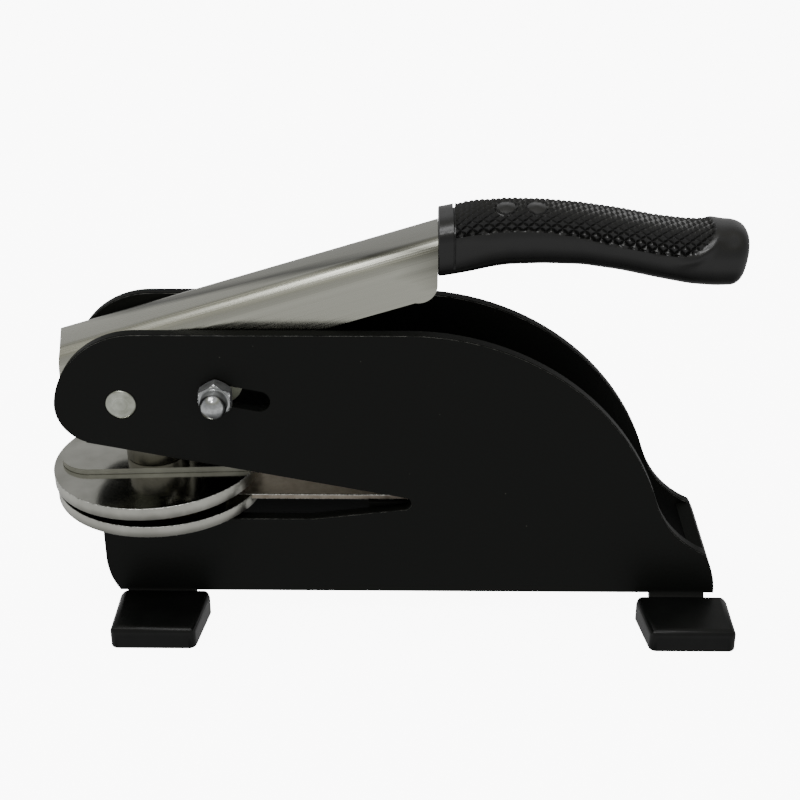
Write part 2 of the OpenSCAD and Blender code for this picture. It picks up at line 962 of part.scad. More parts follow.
// a hexagon with both ends chamfered and a dome, bored to take the bolt's end
module cap_nut() {
  flat_r = nut_af / 2;
  difference() {
    union() {
      intersection() {
        rotate(30)
          cylinder(r = flat_r / cos(30), h = nut_h, $fn = 6);
        cylinder(r1 = flat_r - 0.2 + nut_h, r2 = flat_r - 0.1, h = nut_h);
        cylinder(r1 = flat_r - 0.1, r2 = flat_r - 0.2 + nut_h, h = nut_h);
      }
      cylinder(r = dome_r, h = dome_h);
      translate([0, 0, dome_h])
        sphere(r = dome_r);
    }
    translate([0, 0, -1])
      cylinder(r = bolt_r + fit_gap, h = nut_h + 2 + fit_gap);
  }
}

module cap_nuts() {
  color("#b4b6b8")
    for (s = [-1, 1])
      translate([bolt_x, s * nut_y, bolt_z])
        rotate([s * -90, 0, 0])
          cap_nut();
}

module stop_sleeve() {
  color("#cfd1c2")
    difference() {
      rod(bolt_x, bolt_z, sleeve_r, -sleeve_half, sleeve_half);
      rod(bolt_x, bolt_z, bolt_r + fit_gap, -sleeve_half - 1, sleeve_half + 1);
    }
}

side_plate_left();
side_plate_right();
back_plate();
anvil_block();
rear_block();
lever_pin();
thrust_washers();
front_foot_left();
front_foot_right();
rear_foot_left();
rear_foot_right();
lower_die_disc();
lower_leaf();
lower_seal_plate();
leaf_spacer();
leaf_screws();
leaf_root();
upper_die_disc();
upper_leaf();
upper_seal_plate();
pressure_pad();
lever_channel();
pivot_sleeve();
presser_roller();
presser_pin();
lever_tang();
grip_collar();
grip();
stop_bolt();
cap_nuts();
stop_sleeve();
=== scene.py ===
# %% [markdown]
# # Seal embosser
# A desk press that raises a round seal in paper. Its shape was drawn as a CAD model, and this
# notebook loads that model and gives it its finishes, its light and its camera. Lengths are
# metres, +Z is up, and X runs from the dies to the grip.

# %% Frame
import bpy, bmesh, json, math
import numpy as np
from mathutils import Matrix, Vector


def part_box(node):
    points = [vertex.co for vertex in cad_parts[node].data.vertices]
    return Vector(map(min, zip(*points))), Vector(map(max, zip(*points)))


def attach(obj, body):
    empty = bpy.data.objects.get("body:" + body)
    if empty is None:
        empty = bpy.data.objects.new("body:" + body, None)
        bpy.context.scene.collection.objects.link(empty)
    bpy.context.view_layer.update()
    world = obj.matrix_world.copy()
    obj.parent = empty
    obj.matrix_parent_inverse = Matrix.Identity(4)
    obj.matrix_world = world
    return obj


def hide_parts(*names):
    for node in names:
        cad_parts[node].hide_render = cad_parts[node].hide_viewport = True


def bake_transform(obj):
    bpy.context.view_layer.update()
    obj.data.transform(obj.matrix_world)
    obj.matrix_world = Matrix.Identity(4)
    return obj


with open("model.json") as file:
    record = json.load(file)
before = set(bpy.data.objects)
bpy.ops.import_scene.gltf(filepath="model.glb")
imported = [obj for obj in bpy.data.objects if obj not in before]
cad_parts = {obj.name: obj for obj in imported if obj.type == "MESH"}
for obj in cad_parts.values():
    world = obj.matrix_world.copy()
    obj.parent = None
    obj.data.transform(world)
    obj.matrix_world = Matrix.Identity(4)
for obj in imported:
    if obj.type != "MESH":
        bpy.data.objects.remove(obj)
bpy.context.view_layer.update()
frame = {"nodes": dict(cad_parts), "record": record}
nodes = frame["nodes"]
joints = {j["name"]: j for j in frame["record"]["behaviour"]["joints"]}
mm = 0.001
print("nodes:", len(nodes), "joints:", list(joints))

# %% [markdown]
# ## Camera
# The photograph was taken from a little above, about 27 degrees down, looking square at the side.
# The camera's place was found by fitting the outlines of the two side plates and the two discs.
# A camera looks along its own -Z, so its matrix is built from three directions.

# %% Camera
yaw, down, roll = (math.radians(a) for a in (-0.86, 26.96, -0.16))
flat = math.cos(down)
ahead = Vector((math.sin(yaw) * flat, math.cos(yaw) * flat, -math.sin(down)))
level = Vector((math.cos(yaw), -math.sin(yaw), 0))
upward = level.cross(ahead)
right = math.cos(roll) * level + math.sin(roll) * upward
up = math.cos(roll) * upward - math.sin(roll) * level
place = Vector((0.00975, -0.43401, 0.29008))
camera = bpy.data.objects.new("camera", bpy.data.cameras.new("camera"))
bpy.context.scene.collection.objects.link(camera)
rows = [(*row, place[i]) for i, row in enumerate(zip(right, up, -ahead))]
camera.matrix_world = Matrix(rows + [(0, 0, 0, 1)])
camera.data.sensor_width = 36
camera.data.lens = 67.5
camera.data.clip_start = 0.02
bpy.context.scene.camera = camera
print("camera at", [round(v, 3) for v in place])

# %% [markdown]
# ## Shader helpers
# A written colour such as #1b1c1b is in sRGB, and shaders want linear values, so one function
# turns the first into the second. Another adds a shader node with its settings and its inputs,
# where each input is a plain value or another node's output.

# %% Shader helpers
def colour(text):
    """A written sRGB colour as a linear RGBA."""
    parts = [int(text[i:i + 2], 16) / 255 for i in (1, 3, 5)]
    linear = [c / 12.92 if c <= 0.04045 else ((c + 0.055) / 1.055) ** 2.4 for c in parts]
    return (*linear, 1.0)


def grey(v):
    return (v, v, v, 1.0)


def add(tree, kind, inputs=None, **settings):
    """A shader node of this kind, with its properties set and its inputs filled or linked."""
    made = tree.nodes.new("ShaderNode" + kind)
    for name, value in settings.items():
        setattr(made, name, value)
    for name, value in (inputs or {}).items():
        if isinstance(value, bpy.types.NodeSocket):
            tree.links.new(value, made.inputs[name])
        else:
            made.inputs[name].default_value = value
    return made


print("white is", colour("#ffffff"))

# %% [markdown]
# Every finish starts as one Principled shader. What is the same all over is set on the shader
# itself, and what varies comes from noise, or from the way a face looks, through a colour ramp.

# %% Finish helpers
finishes = {}


def start(name, **values):
    """A new material, its node tree and its Principled shader with these values."""
    made = bpy.data.materials.new(name)
    made.use_nodes = True
    tree = made.node_tree
    shader = tree.nodes["Principled BSDF"]
    for key, value in values.items():
        shader.inputs[key.replace("_", " ")].default_value = value
    return made, tree, shader


def here(tree):
    """The point on the object, in metres, which moves with the piece."""
    return add(tree, "TexCoord").outputs["Object"]


def facing(tree, axis):
    """How squarely the surface faces along this axis of the press, from 0 to 1."""
    parts = add(tree, "SeparateXYZ", {0: add(tree, "TexCoord").outputs["Normal"]})
    return add(tree, "Math", {0: parts.outputs[axis]}, operation="ABSOLUTE").outputs[0]


def noise(tree, where, size, detail=2.0):
    """Noise whose features are about `size` metres across."""
    settings = {"Vector": where, "Scale": 1 / size, "Detail": detail}
    return add(tree, "TexNoise", settings).outputs["Fac"]


print("noise, place and facing helpers ready")

# %% [markdown]
# A colour ramp turns one number into a colour or into another number. With a ramp from 0.32 to
# 0.68, a noise value covers its whole range, because noise seldom strays far from a half.

# %% Ramp helpers
def ramp(tree, value, stops):
    """A colour ramp over the value, from stops of (position, colour)."""
    made = add(tree, "ValToRGB", {"Fac": value})
    while len(made.color_ramp.elements) < len(stops):
        made.color_ramp.elements.new(0.5)
    for element, (position, tone) in zip(made.color_ramp.elements, stops):
        element.position = position
        element.color = tone
    return made.outputs["Color"]


def vary(tree, shader, socket, value, low, high):
    """Lets a socket vary between two colours or two numbers with a noise value."""
    ends = (low, high) if isinstance(low, tuple) else (grey(low), grey(high))
    tree.links.new(ramp(tree, value, [(0.32, ends[0]), (0.68, ends[1])]), shader.inputs[socket])


def by_facing(tree, shader, socket, axis, low, high):
    """Lets a socket follow how squarely a face looks along an axis: (facing, value) twice."""
    stops = [(at, grey(value)) for at, value in (low, high)]
    tree.links.new(ramp(tree, facing(tree, axis), stops), shader.inputs[socket])


def spread(tree, value, low, high):
    """This value as a share of the way from low to high."""
    ends = {"Value": value, "From Min": low, "From Max": high}
    return add(tree, "MapRange", ends).outputs["Result"]


def bump(tree, shader, height, depth, strength=1.0):
    made = add(tree, "Bump", {"Height": height, "Distance": depth, "Strength": strength})
    tree.links.new(made.outputs["Normal"], shader.inputs["Normal"])


print("ramp and bump helpers ready")

# %% [markdown]
# ## Black coat
# The side plates are sheet steel under a thin satin black coat. Its orange peel is about a
# millimetre across, and a few specks of dust lie on it. Voronoi cells give the specks: only the
# very middle of each cell is pale. The coat shines less on the cut edges than on the sides.

# %% Black coat
def black_coat():
    made, tree, shader = start("black_satin_coat", Roughness=0.40, IOR=1.46)
    p = here(tree)
    cells = add(tree, "TexVoronoi", {"Vector": p, "Scale": 1 / (9 * mm)}, feature="F1")
    dust, coat = colour("#55574f"), colour("#131412")
    specks = ramp(tree, cells.outputs["Distance"], [(0.0, dust), (0.03, coat), (1.0, coat)])
    tree.links.new(specks, shader.inputs["Base Color"])
    by_facing(tree, shader, "Specular IOR Level", "Y", (0.3, 0.03), (0.7, 0.17))
    bump(tree, shader, noise(tree, p, 1.1 * mm), 0.03 * mm)
    return made


finishes["black_coat"] = black_coat()
print(finishes["black_coat"].name)

# %% [markdown]
# Along the plates' cut edges the coat is thin and the steel shows through, which gives the fine
# bright line round each plate. That line is a finish of its own, put on the rounded edge only.

# %% Worn edge
def worn_edge():
    made, tree, shader = start("worn_plate_edge", Metallic=0.9, IOR=2.0)
    p = here(tree)
    wear = noise(tree, p, 2.2 * mm, 4.0)
    vary(tree, shader, "Base Color", wear, colour("#484946"), colour("#b8b8b3"))
    vary(tree, shader, "Roughness", noise(tree, p, 0.7 * mm), 0.4, 0.6)
    return made


finishes["worn_edge"] = worn_edge()
print(finishes["worn_edge"].name)

# %% [markdown]
# ## Brushed steel, with a painted reflection
# The lever is stainless sheet, brushed along its length. The point is first turned to lie along
# the lever's slope, and then stretched, so that the noise becomes long thin lines. One soft dark
# streak, a painted reflection, crosses the top at a slant, and on its near side the sheet is
# painted a little brighter, as painted sheen.

# %% Brushed steel
lever_slope = math.radians(17.25)
brush_lines = (20, 3000, 3000)
brush_bands = (5, 260, 260)
# The slanted streak and its tones are a painted reflection and painted sheen on the lever's top.
reflection_streak_slant = 0.175
reflection_streak_half = 15 * mm
reflection_streak_wander = 0.16
reflection_streak_tones = [(0.0, "#b4b4a8"), (0.38, "#b9b9ad"), (0.51, "#5c5c55"), (0.66, "#9c9c93"),
                (1.0, "#a9a9a0")]


def stretched(tree, where, scale):
    return add(tree, "Mapping", {"Vector": where, "Scale": scale}).outputs["Vector"]


def multiply_add(tree, value, factor, term):
    return add(tree, "Math", {0: value, 1: factor, 2: term}, operation="MULTIPLY_ADD").outputs[0]


def brushed_steel():
    made, tree, shader = start("brushed_stainless_sheet", Metallic=1.0, IOR=2.5)
    turned = add(tree, "Mapping", {"Vector": here(tree), "Rotation": (0, lever_slope, 0)})
    turned = turned.outputs["Vector"]
    grain = noise(tree, stretched(tree, turned, brush_lines), 1.0, 3.0)
    bands = noise(tree, stretched(tree, turned, brush_bands), 1.0)
    along = add(tree, "SeparateXYZ", {0: turned}).outputs
    # Painted reflection: a dark streak across the top at a slant, painted lighter on its near
    # side.
    slant = multiply_add(tree, along["X"], reflection_streak_slant, along["Y"])
    across = spread(tree, slant, -reflection_streak_half, reflection_streak_half)
    tones = [(at, colour(tone)) for at, tone in reflection_streak_tones]
    tree.links.new(ramp(tree, multiply_add(tree, bands, reflection_streak_wander, across), tones),
                   shader.inputs["Base Color"])
    vary(tree, shader, "Roughness", grain, 0.22, 0.32)
    bump(tree, shader, grain, 0.005 * mm)
    return made


finishes["brushed_steel"] = brushed_steel()
print(finishes["brushed_steel"].name)

# %% [markdown]
# ## Turned and ground steel
# The lever pin's end was cut on a lathe, so its marks are rings round its axis: noise over the
# distance from that axis. The pad and the roller are ground smooth and only slightly clouded.

# %% Turned and ground steel
def centre_of(node):
    low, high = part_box(node)
    return (Vector(low) + Vector(high)) / 2


def distance_from(tree, p, centre):
    """How far the point is from the axis that runs across the press through this centre."""
    away = add(tree, "VectorMath", {0: p, 1: (centre.x, 0, centre.z)}, operation="SUBTRACT")
    in_plane = {0: away.outputs[0], 1: (1, 0, 1)}
    plane = add(tree, "VectorMath", in_plane, operation="MULTIPLY")
    return add(tree, "VectorMath", {0: plane.outputs[0]}, operation="LENGTH").outputs["Value"]


def turned_steel(centre):
    made, tree, shader = start("turned_pin_steel", Metallic=1.0, IOR=2.5)
    p = here(tree)
    rings = {"W": distance_from(tree, p, centre), "Scale": 2200.0, "Detail": 2.0}
    marks = add(tree, "TexNoise", rings, noise_dimensions="1D").outputs["Fac"]
    cloud = noise(tree, p, 3 * mm, 4.0)
    vary(tree, shader, "Base Color", cloud, colour("#a6a99b"), colour("#cdd0c5"))
    vary(tree, shader, "Roughness", marks, 0.25, 0.4)
    bump(tree, shader, marks, 0.02 * mm)
    return made


def ground_steel():
    made, tree, shader = start("ground_steel", Metallic=1.0, IOR=2.5)
    cloud = noise(tree, here(tree), 12 * mm)
    vary(tree, shader, "Base Color", cloud, colour("#7d7b72"), colour("#929087"))
    vary(tree, shader, "Roughness", cloud, 0.28, 0.36)
    return made


finishes["bright_steel"] = turned_steel(centre_of("lever_pin"))
finishes["ground_steel"] = ground_steel()
print(finishes["bright_steel"].name, "and", finishes["ground_steel"].name)

# %% [markdown]
# ## Bright plate
# The discs and the upper leaf are plated. Their flat faces are nearly mirrors and their cut rims
# are satin, so roughness follows how far a face is from level. The sharp edges are a little
# chipped, and sparkle.

# %% Bright plate
def bright_plate():
    made, tree, shader = start("bright_nickel_plate", Metallic=1.0, IOR=2.0)
    smears = noise(tree, here(tree), 8 * mm, 4.0)
    vary(tree, shader, "Base Color", smears, colour("#b2b2a9"), colour("#c4c4bb"))
    by_facing(tree, shader, "Roughness", "Z", (0.6, 0.32), (0.9, 0.13))
    bump(tree, shader, smears, 0.04 * mm, 0.6)
    return made


def chipped_edge():
    made, tree, shader = start("chipped_plate_edge", Metallic=1.0, IOR=2.0)
    p = here(tree)
    chips = noise(tree, p, 0.9 * mm, 5.0)
    vary(tree, shader, "Base Color", chips, colour("#83847e"), colour("#f2f2ec"))
    vary(tree, shader, "Roughness", noise(tree, p, 0.5 * mm), 0.12, 0.45)
    bump(tree, shader, chips, 0.2 * mm)
    return made


finishes["polished_plate"] = bright_plate()
finishes["chipped_edge"] = chipped_edge()
print(finishes["polished_plate"].name, "and", finishes["chipped_edge"].name)

# %% [markdown]
# ## Chrome
# The cap nuts are chromed. Their domes are bright, and the six flats, which face away from the
# side, are duller from the spanner.

# %% Chrome
def chromed_nut():
    made, tree, shader = start("chromed_nut", Metallic=1.0, IOR=2.0)
    cloud = noise(tree, here(tree), 2 * mm, 4.0)
    vary(tree, shader, "Base Color", cloud, colour("#a3a5a5"), colour("#c6c8c8"))
    by_facing(tree, shader, "Roughness", "Y", (0.05, 0.5), (0.3, 0.17))
    return made


finishes["cap_chrome"] = chromed_nut()
print(finishes["cap_chrome"].name)

# %% [markdown]
# ## Spring steel, zinc and brass
# The lower leaf is plain rolled spring steel, brownish grey. The stop bolt and the leaf screws
# are zinc plated, and the seal plates in the discs are brass. They differ in colour, in roughness
# and in the size of their clouding.

# %% Small metals
def clouded(name, dark, light, size, rough, depth=0.0, ior=2.0):
    """A metal whose colour and roughness vary in clouds of this size."""
    made, tree, shader = start(name, Metallic=1.0, IOR=ior)
    cloud = noise(tree, here(tree), size, 4.0)
    vary(tree, shader, "Base Color", cloud, colour(dark), colour(light))
    vary(tree, shader, "Roughness", cloud, *rough)
    if depth:
        bump(tree, shader, cloud, depth)
    return made


finishes["leaf_steel"] = clouded("rolled_spring_steel", "#8a8073", "#aca395", 4 * mm,
                                 (0.30, 0.45), 0.03 * mm, 2.5)
finishes["zinc_steel"] = clouded("zinc_plated_steel", "#7d807f", "#a3a6a5", 1.5 * mm,
                                 (0.30, 0.42))
finishes["seal_brass"] = clouded("engraved_brass", "#a8854d", "#c9a667", 1 * mm,
                                 (0.25, 0.40), 0.02 * mm, 1.5)
print("metals:", [finishes[n].name for n in ("leaf_steel", "zinc_steel", "seal_brass")])

# %% [markdown]
# ## Rubber and plastics
# The grip is soft black rubber with a fine moulded grain. The feet are a harder black plastic,
# and the sleeve on the stop bolt is a pale plastic with a hint of green.

# %% Rubber and plastics
def moulded(name, dark, light, grain, rough, ior, gloss):
    """A moulded material with a grain of this size and this middle roughness."""
    made, tree, shader = start(name, IOR=ior, Specular_IOR_Level=gloss)
    p = here(tree)
    fine = noise(tree, p, grain)
    cloud = noise(tree, p, 6 * mm, 3.0)
    vary(tree, shader, "Base Color", cloud, colour(dark), colour(light))
    vary(tree, shader, "Roughness", fine, rough - 0.05, rough + 0.05)
    bump(tree, shader, fine, 0.01 * mm)
    return made


finishes["grip_rubber"] = moulded("black_rubber", "#0b0b0b", "#121211", 0.3 * mm,
                                  0.32, 1.52, 0.5)
finishes["foot_plastic"] = moulded("black_plastic", "#0b0c0b", "#101110", 0.4 * mm,
                                   0.36, 1.5, 0.25)
finishes["pale_sleeve"] = moulded("pale_nylon", "#b9bca6", "#cfd2bd", 0.6 * mm,
                                  0.4, 1.53, 0.5)
print("finishes:", len(finishes))

# %% [markdown]
# ## Dressing the CAD pieces
# Most pieces keep their CAD shape. Modifiers join the mesh's seams, clear away the thin triangles
# on flat faces, split those faces afresh and then round the sharp edges, so that edges catch the
# light as real ones do. The rounded strip takes a second finish where the real edge is chipped.

# %% Dressing
edge_looks = {"polished_plate": (0.22, "chipped_edge"), "leaf_steel": (0.3, "chipped_edge"),
              "foot_plastic": (0.3, None), "bright_steel": (0.3, None)}
special = {"cap_nuts": "cap_chrome", "pressure_pad": "ground_steel",
           "presser_roller": "ground_steel"}


def soften(piece, width, edge):
    """Rounds the sharp edges by this width in millimetres, with the edge's own finish if any."""
    piece.modifiers.new("weld", "WELD").merge_threshold = 0.05 * mm
    clean = piece.modifiers.new("clean", "DECIMATE")
    clean.decimate_type = "DISSOLVE"
    clean.angle_limit = math.radians(0.5)
    piece.modifiers.new("split", "TRIANGULATE")
    bevel = piece.modifiers.new("bevel", "BEVEL")
    bevel.width = width * mm
    bevel.segments = 2
    bevel.limit_method = "ANGLE"
    bevel.angle_limit = math.radians(40)
    bevel.harden_normals = True
    bevel.loop_slide = False
    bevel.use_clamp_overlap = False
    if edge:
        piece.data.materials.append(finishes[edge])
        bevel.material = 1


for part in frame["record"]["subparts"]:
    node, slot = part["node"], part["material_slot"]
    piece = nodes[node]
    piece.data.materials.clear()
    piece.data.materials.append(finishes[special.get(node, slot)])
    if slot in edge_looks:
        width, edge = edge_looks[slot]
        soften(piece, width, None if node in special else edge)

# %% [markdown]
# ## Pieces of their own
# Some pieces need more than their CAD shape: the side plates' worn rims, the lever's front cut,
# the grip's texture and the springy leaf. Each new piece is linked into the scene and given a
# finish, all but the leaf are told which body they ride on, and the CAD nodes each stands for are
# hidden.

# %% Piece helpers
def new_piece(name, mesh, slot, body=None):
    made = bpy.data.objects.new(name, mesh)
    bpy.context.scene.collection.objects.link(made)
    mesh.materials.append(finishes[slot])
    if body:
        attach(made, body)
    return made


def cad_copy(node, flat_to):
    """A copy of a CAD mesh, its seams joined and its faces whole where flat to these degrees."""
    bm = bmesh.new()
    bm.from_mesh(nodes[node].data)
    bmesh.ops.remove_doubles(bm, verts=bm.verts, dist=0.002 * mm)
    bmesh.ops.dissolve_limit(bm, angle_limit=math.radians(flat_to), verts=bm.verts,
                             edges=bm.edges)
    return bm


def close(bm, name, sharp):
    """A mesh from this bmesh, smooth but for edges sharper than `sharp` degrees."""
    bmesh.ops.recalc_face_normals(bm, faces=bm.faces)
    mesh = bpy.data.meshes.new(name)
    bm.to_mesh(mesh)
    bm.free()
    mesh.shade_smooth()
    mesh.set_sharp_from_angle(angle=math.radians(sharp))
    return mesh


print("piece helpers ready")

# %% [markdown]
# ## Side plates
# The plates are shown by copies of their CAD meshes. Every rim above the feet is rounded by a
# quarter of a millimetre, but not the rims of the two holes. Where the rounded strip faces up or
# outwards it takes the worn finish, which draws a fine bright line round each plate.

# %% Side plates
feet_top = 14
holes_x, holes_z = (-93, -25), (55, 92)
rim_width = 0.28 * mm


def on_rim(edge):
    """Whether this edge is sharp, above the feet and outside the holes' box, in millimetres."""
    x, z = (min(v.co[axis] for v in edge.verts) / mm for axis in (0, 2))
    in_hole = holes_x[0] < x < holes_x[1] and holes_z[0] < z < holes_z[1]
    if z <= feet_top or in_hole or len(edge.link_faces) != 2:
        return False
    return edge.calc_face_angle() > math.radians(60)


def worn_plate(node):
    bm = cad_copy(node, 0.5)
    bmesh.ops.triangulate(bm, faces=[f for f in bm.faces if len(f.verts) > 4])
    bm.normal_update()
    bmesh.ops.bevel(bm, geom=[e for e in bm.edges if on_rim(e)], offset=rim_width, segments=2,
                    affect="EDGES", material=1, loop_slide=False, clamp_overlap=False)
    mesh = close(bm, node + "_sheet", 20)
    for face in mesh.polygons:
        face.use_smooth = abs(face.normal.y) < 0.999
        if face.normal.z < -0.1 or not face.use_smooth:
            face.material_index = 0
    return mesh


for node in ("side_plate_left", "side_plate_right"):
    sheet = new_piece(node + "_sheet", worn_plate(node), "black_coat", "frame")
    sheet.data.materials.append(finishes["worn_edge"])
    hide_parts(node)
    print(node, "faces:", len(sheet.data.polygons))

# %% [markdown]
# ## Lever
# The lever is one bent sheet, and its front end was cut a little askew: the far side reaches
# further forward. A copy of the CAD mesh is used, with the points of its front end slid along
# the lever's own slope, so the sheet keeps its thickness and its faces stay flat.

# %% Lever
square_at = -6.7 * mm
skew = 0.2
least_slide = -0.5 * mm


def lever_sheet():
    bm = cad_copy("lever_channel", 0.4)
    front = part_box("lever_channel")[0][0]
    for v in bm.verts:
        if v.co.x < front + 0.02 * mm:
            slide = max(least_slide, skew * (v.co.y - square_at))
            v.co -= Vector((slide, 0, slide * math.tan(lever_slope)))
    return close(bm, "lever_sheet", 25)


lever = new_piece("lever_sheet", lever_sheet(), "brushed_steel", "lever")
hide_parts("lever_channel")
print("lever faces:", len(lever.data.polygons))

# %% [markdown]
# ## Grip: its sections
# The grip is a rubber sleeve, crowned on top, waisted in the middle and swollen at its end. Each
# station gives a place along the press, the section's middle height and its half height, in
# millimetres. The half width comes from the CAD collar's.

# %% Grip sections
stations = np.array([[15.1, 124.3, 8.9], [20, 125.2, 9.1], [27, 126.6, 9.7], [36, 127.8, 9.3],
                     [47, 127.9, 9.0], [59, 127.2, 8.6], [71, 125.4, 8.6], [82, 123.1, 8.7],
                     [92, 121.5, 9.1], [99.6, 121.2, 9.4], [104.8, 121.2, 9.2],
                     [109.6, 121.2, 8.9]])
middle_height, half_height = 1, 2


def smooth_line(x, column):
    """A station value at x, with the corners between stations rounded off."""
    near = np.linspace(-3, 3, 13)
    weight = np.exp(-0.5 * (near / 1.5) ** 2)
    values = np.interp(x + near, stations[:, 0], stations[:, column])
    return float((values * weight).sum() / weight.sum())


grip_low, grip_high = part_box("grip")
collar_low, collar_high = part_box("grip_collar")
half_width = collar_high[1] / mm
print("grip from", round(collar_low[0] / mm, 1), "to", round(grip_high[0] / mm, 1), "mm")

# %% [markdown]
# A section is drawn as a superellipse, whose power sets how boxy it is. Walking round it at equal
# steps of length keeps the texture's pyramids the same size on the top and on the side.

# %% Grip outline
waist, waist_at, waist_reach = 0.035, 55, 22


def outline(a, b, power):
    """Points and running lengths of the half section from top to bottom, in millimetres."""
    t = np.linspace(0, math.pi, 721)
    y = a * np.abs(np.sin(t)) ** (2 / power)
    z = b * np.sign(np.cos(t)) * np.abs(np.cos(t)) ** (2 / power)
    run = np.concatenate([[0], np.cumsum(np.hypot(np.diff(y), np.diff(z)))])
    return y, z, run


def width_at(x):
    """Half width of the grip, a little narrower in the middle."""
    return half_width * (1 - waist * math.exp(-((x - waist_at) / waist_reach) ** 2))


half_run = outline(width_at(waist_at), 8.5, 2.4)[2][-1]
print("half section length at the waist:", round(half_run, 1), "mm")

# %% [markdown]
# ## Grip: its texture
# The upper part is filled with small pyramids in staggered rows, 3.37 mm apart. They are pressed
# into the rubber, so their tips are level with the smooth band below. Two plain round pads lie in
# the pattern. The band swells a little where the pattern ends.

# %% Grip texture
pyramid = 3.37
dip = 1.05
blunt = 0.4
border = np.array([[20.3, 4.7], [31, 4.3], [41, 4.2], [48, 3.8], [55, 3.1], [65, 1.8], [81, 1.6],
                   [88, 2.0], [93, 4.0], [97, 7.0], [99.5, 9.5]])
pads = [(35.6, -2.6), (45.0, -2.6)]
pad_radii = (3.1, 4.3)
pad_rim = 1.12
swell_height = 0.6


def soft_step(low, high, v):
    t = min(1.0, max(0.0, (v - low) / (high - low)))
    return t * t * (3 - 2 * t)


def swelling(x, over):
    """How far the rubber rises near its end, at this height over the pattern's border."""
    ridge = math.exp(-((over + 2.0) / 1.5) ** 2)
    return swell_height * ridge * soft_step(84, 93, x) * soft_step(104, 99, x)


def sunk(x, v, height):
    """How deep the surface lies at x, at v round the section and this far above the middle."""
    over = height - np.interp(x, border[:, 0], border[:, 1])
    swell = swelling(x, over)
    if x < border[0, 0] or x > border[-1, 0]:
        return -swell
    for px, pv in pads:
        away = math.hypot((x - px) / pad_radii[0], (v - pv) / pad_radii[1])
        if away < pad_rim:
            return 0.5 * away if away < 1 else dip * 0.9
    p, q = (x + v) / pyramid, (x - v) / pyramid
    slope = 2 * max(abs(p % 1 - 0.5), abs(q % 1 - 0.5))
    inside = soft_step(-0.1, 0.35, over)
    rise = (math.hypot(slope, blunt) - blunt) / (math.hypot(1, blunt) - blunt)
    return inside * dip * rise - swell


print("pyramids:", round((border[-1, 0] - border[0, 0]) / pyramid), "to a row")

# %% [markdown]
# The mesh is a tube of sections. In the texture they stand an eighth of a pyramid apart. The
# groove behind the collar is a narrow band between close rows, and the last rows crowd together
# where the end turns in. The tube stops a little short of the CAD end, because its end leans out.

# %% Grip rows
fine_step = pyramid / 8
turn_in = 4.2
chamfer = 0.3
lean = 1.2
start_x, end_x = collar_low[0] / mm, grip_high[0] / mm - lean
groove_from, groove_to = collar_high[0] / mm, grip_low[0] / mm


def grip_rows():
    """Places of the sections along the press, in millimetres."""
    collar = [start_x, start_x + 0.1, start_x + chamfer]
    collar += list(np.linspace(start_x + 0.8, groove_from - 0.25, 7))
    groove = [groove_from - 0.05, groove_from, groove_from + 0.06]
    groove += [groove_to - 0.06, groove_to, groove_to + 0.05]
    body = list(np.arange(groove_to + 0.25, end_x - turn_in, fine_step))
    turn = [end_x - turn_in * (1 - math.sin(t)) for t in np.linspace(0, math.pi / 2, 14)]
    return collar + groove + body + turn


print("sections:", len(grip_rows()))

# %% [markdown]
# Round a section, fine steps cover the textured top and 38 wider ones the smooth underside. Each
# point is pushed in along the section's own outward direction. At the end the section shrinks and
# leans, so that the grip closes with a rounded, slanting face.

# %% Grip section
top_steps = np.arange(-44, 45) * fine_step
under_count = 40
groove_depth = 1.3
oval, boxier_at_collar = 2.4, 1.0
end_shrink, end_slant = 0.28, 0.16


def section_at(x):
    """Half width, half height and boxiness of the section at x, and how far the end turned in."""
    boxy = oval + boxier_at_collar * (1 - soft_step(17, 32, x))
    into_end = max(0.0, x - end_x + turn_in) / turn_in
    shrink = 1 - end_shrink * (1 - math.sqrt(max(0.0, 1 - into_end ** 2)))
    a, b = width_at(x) * shrink, smooth_line(x, half_height) * shrink
    if x < start_x + chamfer:
        a, b = a - (start_x + chamfer - x), b - (start_x + chamfer - x)
    return a, b, boxy, into_end


def grip_ring(bm, x, depths):
    """One section's points at x. How deep each lies is kept in `depths`."""
    a, b, boxy, into_end = section_at(x)
    y, z, run = outline(a, b, boxy)
    under = np.linspace(top_steps[-1], 2 * run[-1] + top_steps[0], under_count)[1:-1]
    ring = []
    for v in np.concatenate([top_steps, under]):
        v = v if v <= run[-1] else v - 2 * run[-1]
        py = np.interp(abs(v), run, y) * (1 if v >= 0 else -1)
        pz = np.interp(abs(v), run, z)
        out = Vector((py / a ** 2, pz / b ** 2)).normalized()
        in_groove = groove_from < x < groove_to and pz > -0.5 * b
        depth = groove_depth if in_groove else sunk(x, v, pz)
        at = (x + end_slant * into_end * pz, py - out.x * depth,
              smooth_line(x, middle_height) + pz - out.y * depth)
        ring.append(bm.verts.new(Vector(at) * mm))
        depths[ring[-1]] = depth
    return ring


print("points to a section:", len(top_steps) + under_count - 2)

# %% [markdown]
# Between two sections lie small squares. In the texture each is split along its deeper diagonal,
# so that the valleys between the pyramids stay sharp. One face closes each end.

# %% Grip
def skin(bm, one, two, depths):
    """The faces between two sections."""
    for j in range(len(one)):
        k = (j + 1) % len(one)
        a, b, c, d = one[j], one[k], two[k], two[j]
        da, db, dc, dd = (depths[v] for v in (a, b, c, d))
        if da + db + dc + dd <= 0.1:
            faces = [(a, b, c, d)]
        elif da + dc > db + dd:
            faces = [(a, b, c), (a, c, d)]
        else:
            faces = [(a, b, d), (b, c, d)]
        for corners in faces:
            bm.faces.new(corners)


def grip_mesh():
    bm = bmesh.new()
    depths = {}
    rings = [grip_ring(bm, x, depths) for x in grip_rows()]
    for one, two in zip(rings, rings[1:]):
        skin(bm, one, two, depths)
    bm.faces.new(rings[0])
    bm.faces.new(rings[-1])
    return close(bm, "grip_sleeve", 32)


grip = new_piece("grip_sleeve", grip_mesh(), "grip_rubber", "lever")
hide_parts("grip", "grip_collar")
print("grip faces:", len(grip.data.polygons))
